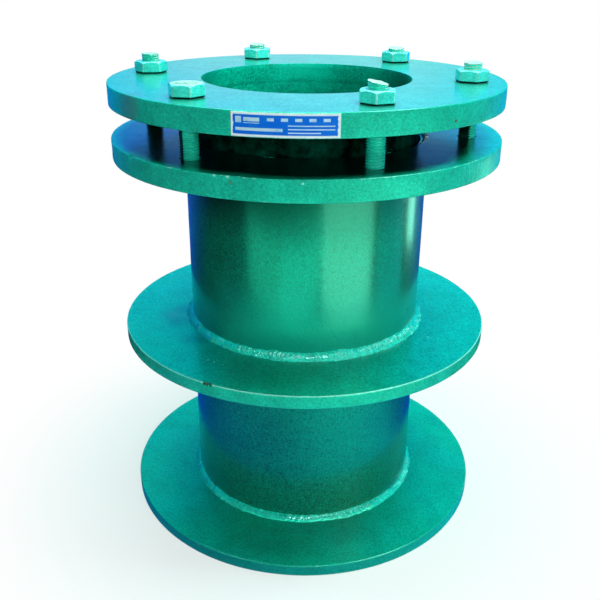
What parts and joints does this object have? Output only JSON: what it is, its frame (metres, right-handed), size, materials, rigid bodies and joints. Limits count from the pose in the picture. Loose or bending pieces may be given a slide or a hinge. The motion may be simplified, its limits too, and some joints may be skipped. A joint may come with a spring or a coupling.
{
  "type": "flexible waterproof wall sleeve",
  "caption": "Steel pipe sleeve with wing rings for casting into a wall, and a bolted gland that squeezes rubber rings onto the pipe running through it.",
  "frame": {"origin": "centre of the end wing ring's underside, on the bore's axis", "axes": "+Z along the bore, from the end wing ring towards the gland; -Y towards the label on the gland flange's rim"},
  "size_m": [0.32, 0.3204, 0.3937],
  "materials": {
    "plate_paint": "glossy green enamel brushed on over mill scale",
    "weld_paint": "glossy green enamel over rippled weld metal",
    "stud_paint": "green enamel over rolled thread, worn at the cut ends",
    "nut_paint": "glossy green enamel",
    "seal_rubber": "matt black rubber",
    "label_print": "printed blue film with a white border"
  },
  "bodies": {
    "sleeve": {"sleeve_pipe": "plate_paint", "end_wing_ring": "plate_paint", "middle_wing_ring": "plate_paint", "stud_flange": "plate_paint", "retaining_ring": "plate_paint", "seal_ring_lower": "seal_rubber", "seal_ring_upper": "seal_rubber", "weld_end_wing_inside": "weld_paint", "weld_end_wing_top": "weld_paint", "weld_middle_wing_under": "weld_paint", "weld_middle_wing_top": "weld_paint", "weld_stud_flange_under": "weld_paint", "weld_stud_flange_inside": "weld_paint", "weld_retaining_ring": "weld_paint", "stud_1": "stud_paint", "stud_2": "stud_paint", "stud_3": "stud_paint", "stud_4": "stud_paint", "stud_5": "stud_paint", "stud_6": "stud_paint"},
    "gland": {"gland_flange": "plate_paint", "gland_nose": "plate_paint", "weld_gland_nose": "weld_paint", "label_plate": "label_print"},
    "nut_1": {"nut_1": "nut_paint"},
    "nut_2": {"nut_2": "nut_paint"},
    "nut_3": {"nut_3": "nut_paint"},
    "nut_4": {"nut_4": "nut_paint"},
    "nut_5": {"nut_5": "nut_paint"},
    "nut_6": {"nut_6": "nut_paint"}
  },
  "joints": [
    {"name": "gland_slide", "type": "slide", "parent": "sleeve", "child": "gland", "axis": [0, 0, -1], "range_m": [0, 0.008], "deforming": ["seal_ring_lower", "seal_ring_upper"]},
    {"name": "nut_1_turn", "type": "hinge", "parent": "gland", "child": "nut_1", "pos_m": [-0.08392, -0.10253, 0.376], "axis": [0, 0, 1], "range_deg": [-1440, 0]},
    {"name": "nut_2_turn", "type": "hinge", "parent": "gland", "child": "nut_2", "pos_m": [0.04684, -0.12395, 0.376], "axis": [0, 0, 1], "range_deg": [-1440, 0]},
    {"name": "nut_3_turn", "type": "hinge", "parent": "gland", "child": "nut_3", "pos_m": [0.13076, -0.02141, 0.376], "axis": [0, 0, 1], "range_deg": [-1440, 0]},
    {"name": "nut_4_turn", "type": "hinge", "parent": "gland", "child": "nut_4", "pos_m": [0.08392, 0.10253, 0.376], "axis": [0, 0, 1], "range_deg": [-1440, 0]},
    {"name": "nut_5_turn", "type": "hinge", "parent": "gland", "child": "nut_5", "pos_m": [-0.04684, 0.12395, 0.376], "axis": [0, 0, 1], "range_deg": [-1440, 0]},
    {"name": "nut_6_turn", "type": "hinge", "parent": "gland", "child": "nut_6", "pos_m": [-0.13076, 0.02141, 0.376], "axis": [0, 0, 1], "range_deg": [-1440, 0]}
  ],
  "couplings": [
    {"joint": "nut_1_turn", "follows": "gland_slide", "rad_per_m": -3141.5},
    {"joint": "nut_2_turn", "follows": "gland_slide", "rad_per_m": -3141.5},
    {"joint": "nut_3_turn", "follows": "gland_slide", "rad_per_m": -3141.5},
    {"joint": "nut_4_turn", "follows": "gland_slide", "rad_per_m": -3141.5},
    {"joint": "nut_5_turn", "follows": "gland_slide", "rad_per_m": -3141.5},
    {"joint": "nut_6_turn", "follows": "gland_slide", "rad_per_m": -3141.5}
  ]
}
